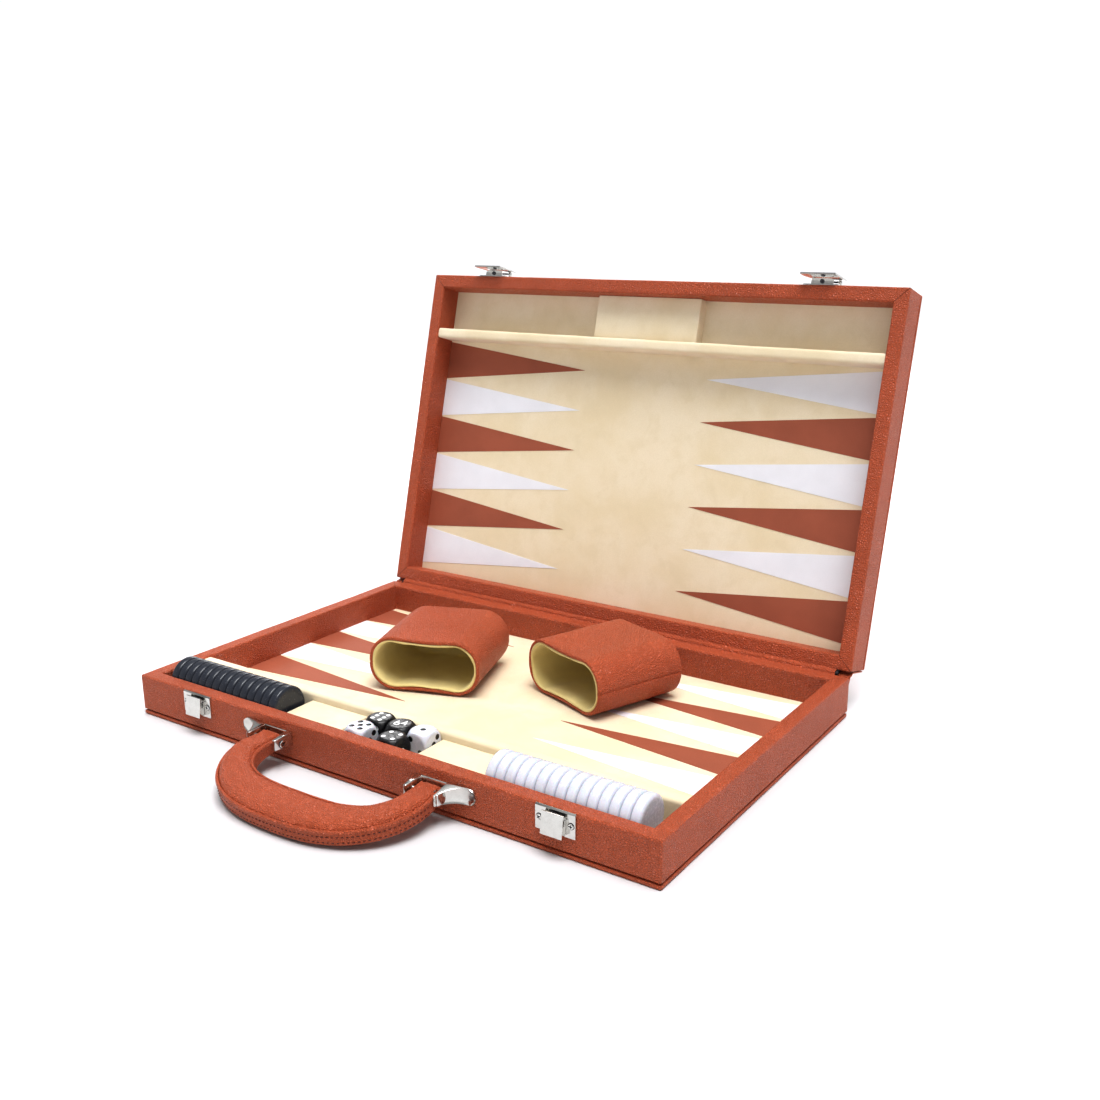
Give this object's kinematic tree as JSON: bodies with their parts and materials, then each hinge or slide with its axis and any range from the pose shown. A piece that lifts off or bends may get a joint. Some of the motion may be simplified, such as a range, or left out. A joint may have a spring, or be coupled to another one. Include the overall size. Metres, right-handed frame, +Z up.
{
  "type": "backgammon set",
  "caption": "Attache-style backgammon case, open to show its leather-inlaid board, with stacked men, dice, doubling cube, dice cups, latches and carrying handle.",
  "frame": {"origin": "centre of the underside of the base half", "axes": "+Z up, +X to the right seen from the handle, +Y from the handle wall to the hinge wall"},
  "size_m": [0.38, 0.3999, 0.2723],
  "materials": {
    "leather": "pebble-grained, satin",
    "suede": "brushed suede cloth",
    "lining": "brushed suede cloth",
    "point_brown": "fine-grained, satin",
    "point_white": "fine-grained, satin",
    "nickel": "bright polished nickel",
    "dark_steel": "blackened",
    "white_resin": "polished",
    "black_resin": "polished"
  },
  "bodies": {
    "base": {"base_frame": "leather", "base_panel": "leather", "base_field": "suede", "base_points_brown": "point_brown", "base_points_white": "point_white", "base_rail": "suede", "tray_block_left": "suede", "tray_block_right": "suede", "dice_tray": "suede", "hinge_leaf_base": "dark_steel", "hinge_pin": "dark_steel", "spine_base": "leather", "latch_plate_left": "nickel", "latch_plate_right": "nickel", "latch_pins": "dark_steel", "latch_springs": "dark_steel", "latch_screws": "nickel", "handle_bracket_left": "nickel", "handle_bracket_right": "nickel", "handle_pins": "nickel"},
    "lid": {"lid_frame": "leather", "lid_panel": "leather", "lid_field": "suede", "lid_points_brown": "point_brown", "lid_points_white": "point_white", "lid_rail": "suede", "lid_block": "suede", "hinge_leaf_lid": "dark_steel", "spine_lid": "leather", "lid_latch_plate_left": "nickel", "lid_latch_plate_right": "nickel", "hasp_pins": "dark_steel", "lid_latch_studs": "dark_steel", "lid_latch_screws": "nickel"},
    "lever_left": {"latch_lever_left": "nickel", "latch_hook_left": "dark_steel"},
    "lever_right": {"latch_lever_right": "nickel", "latch_hook_right": "dark_steel"},
    "hasp_left": {"hasp_left": "nickel"},
    "hasp_right": {"hasp_right": "nickel"},
    "handle": {"handle_band": "leather", "handle_pad": "leather", "handle_core": "dark_steel"},
    "cup_left": {"cup_left": "leather", "cup_lining_left": "lining"},
    "cup_right": {"cup_right": "leather", "cup_lining_right": "lining"},
    "die_white_five": {"die_white_five": "white_resin"},
    "die_white_one": {"die_white_one": "white_resin"},
    "die_black_six": {"die_black_six": "black_resin"},
    "die_black_four": {"die_black_four": "black_resin"},
    "doubling_cube": {"doubling_cube": "black_resin"},
    "men_black_a": {"men_black_a": "black_resin"},
    "men_black_b": {"men_black_b": "black_resin"},
    "men_black_c": {"men_black_c": "black_resin"},
    "men_white_a": {"men_white_a": "white_resin"},
    "men_white_b": {"men_white_b": "white_resin"},
    "men_white_c": {"men_white_c": "white_resin"}
  },
  "joints": [
    {"name": "lid_hinge", "type": "hinge", "parent": "base", "child": "lid", "pos_m": [0, 0.12382, 0.0269], "axis": [-1, 0, 0], "range_deg": [-104.75, 75.25]},
    {"name": "handle_swing", "type": "hinge", "parent": "base", "child": "handle", "pos_m": [-0.0065, -0.12925, 0.016], "axis": [-1, 0, 0], "range_deg": [0, 90]},
    {"name": "latch_lever_left", "type": "hinge", "parent": "base", "child": "lever_left", "pos_m": [-0.1355, -0.12385, 0.0223], "axis": [-1, 0, 0], "range_deg": [0, 25], "stiffness_Nm_per_rad": 0.01, "springref_deg": -20.05},
    {"name": "hasp_left", "type": "hinge", "parent": "lid", "child": "hasp_left", "pos_m": [-0.1355, 0.19902, 0.26538], "axis": [-1, 0, 0], "range_deg": [0, 88]},
    {"name": "latch_lever_right", "type": "hinge", "parent": "base", "child": "lever_right", "pos_m": [0.1304, -0.12385, 0.0223], "axis": [-1, 0, 0], "range_deg": [0, 25], "stiffness_Nm_per_rad": 0.01, "springref_deg": -20.05},
    {"name": "hasp_right", "type": "hinge", "parent": "lid", "child": "hasp_right", "pos_m": [0.1304, 0.19902, 0.26538], "axis": [-1, 0, 0], "range_deg": [0, 88]},
    {"name": "cup_left_lift", "type": "slide", "parent": "base", "child": "cup_left", "axis": [0, 0, 1], "range_m": [0, 0.06]},
    {"name": "cup_right_lift", "type": "slide", "parent": "base", "child": "cup_right", "axis": [0, 0, 1], "range_m": [0, 0.06]},
    {"name": "die_white_five_lift", "type": "slide", "parent": "base", "child": "die_white_five", "axis": [0, 0, 1], "range_m": [0, 0.04]},
    {"name": "die_white_one_lift", "type": "slide", "parent": "base", "child": "die_white_one", "axis": [0, 0, 1], "range_m": [0, 0.04]},
    {"name": "die_black_six_lift", "type": "slide", "parent": "base", "child": "die_black_six", "axis": [0, 0, 1], "range_m": [0, 0.04]},
    {"name": "die_black_four_lift", "type": "slide", "parent": "base", "child": "die_black_four", "axis": [0, 0, 1], "range_m": [0, 0.04]},
    {"name": "doubling_cube_lift", "type": "slide", "parent": "base", "child": "doubling_cube", "axis": [0, 0, 1], "range_m": [0, 0.04]},
    {"name": "men_black_a_lift", "type": "slide", "parent": "base", "child": "men_black_a", "axis": [0, 0, 1], "range_m": [0, 0.04]},
    {"name": "men_black_b_lift", "type": "slide", "parent": "base", "child": "men_black_b", "axis": [0, 0, 1], "range_m": [0, 0.04]},
    {"name": "men_black_c_lift", "type": "slide", "parent": "base", "child": "men_black_c", "axis": [0, 0, 1], "range_m": [0, 0.04]},
    {"name": "men_white_a_lift", "type": "slide", "parent": "base", "child": "men_white_a", "axis": [0, 0, 1], "range_m": [0, 0.04]},
    {"name": "men_white_b_lift", "type": "slide", "parent": "base", "child": "men_white_b", "axis": [0, 0, 1], "range_m": [0, 0.04]},
    {"name": "men_white_c_lift", "type": "slide", "parent": "base", "child": "men_white_c", "axis": [0, 0, 1], "range_m": [0, 0.04]}
  ]
}
